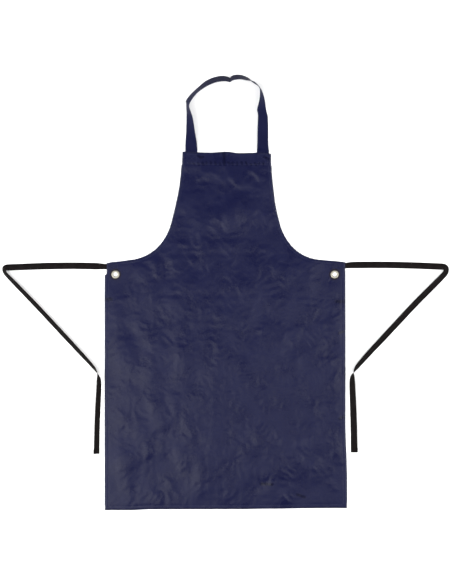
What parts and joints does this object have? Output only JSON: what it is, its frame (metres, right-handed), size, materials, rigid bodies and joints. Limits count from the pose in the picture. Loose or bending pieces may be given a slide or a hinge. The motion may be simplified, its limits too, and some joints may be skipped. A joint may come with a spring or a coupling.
{
  "type": "bib welding apron",
  "caption": "Coated cloth bib apron laid flat, with curved armholes, a sewn neck strap, folding waist ties and eyelets at the waist corners.",
  "frame": {"origin": "middle of the laid-out apron on the surface it lies on: halfway across the skirt, and halfway from the bottom edge to the top of the neck loop, measured without the two free waist ties", "axes": "+Y along the apron towards the neck, +X across it towards the wearer's left side, +Z out of the front face, up from the surface it lies on"},
  "size_m": [1.3214, 1.2877, 0.036],
  "materials": {
    "coated_cloth": "dark navy cloth with a thin smooth coating, faint sheen, soft wrinkles",
    "strap_cloth": "the same dark navy cloth folded into a strap and edge stitched",
    "tie_tape": "matte black woven twill tape",
    "eyelet_metal": "bright pale plated metal, rolled",
    "seam_thread": "navy sewing thread",
    "tie_thread": "black sewing thread"
  },
  "bodies": {
    "apron": {"front_panel": "coated_cloth", "top_hem": "coated_cloth", "bottom_hem": "coated_cloth", "left_side_hem": "coated_cloth", "right_side_hem": "coated_cloth", "left_armhole_hem": "coated_cloth", "right_armhole_hem": "coated_cloth", "neck_strap_left_end": "strap_cloth", "neck_strap_right_end": "strap_cloth", "left_tie_end": "tie_tape", "right_tie_end": "tie_tape", "left_eyelet": "eyelet_metal", "right_eyelet": "eyelet_metal", "left_eyelet_washer": "eyelet_metal", "right_eyelet_washer": "eyelet_metal", "top_hem_stitching": "seam_thread", "bottom_hem_stitching": "seam_thread", "left_side_stitching": "seam_thread", "right_side_stitching": "seam_thread", "left_armhole_stitching": "seam_thread", "right_armhole_stitching": "seam_thread", "neck_strap_left_stitching": "seam_thread", "neck_strap_right_stitching": "seam_thread", "left_tie_stitching": "tie_thread", "right_tie_stitching": "tie_thread"},
    "neck_loop": {"neck_loop": "strap_cloth"},
    "left_tie": {"left_tie": "tie_tape", "left_tie_tip_fold": "tie_tape"},
    "right_tie": {"right_tie": "tie_tape", "right_tie_tip_fold": "tie_tape"}
  },
  "joints": [
    {"name": "neck_fold", "type": "hinge", "parent": "apron", "child": "neck_loop", "pos_m": [0, 0.4165, 0.0024], "axis": [1, 0, 0], "range_deg": [-90, 150]},
    {"name": "left_tie_fold", "type": "hinge", "parent": "apron", "child": "left_tie", "pos_m": [-0.3595, 0.0735, 0.0012], "axis": [0, 1, 0], "range_deg": [-90, 130]},
    {"name": "right_tie_fold", "type": "hinge", "parent": "apron", "child": "right_tie", "pos_m": [0.3595, 0.0735, 0.0012], "axis": [0, -1, 0], "range_deg": [-90, 130]}
  ]
}
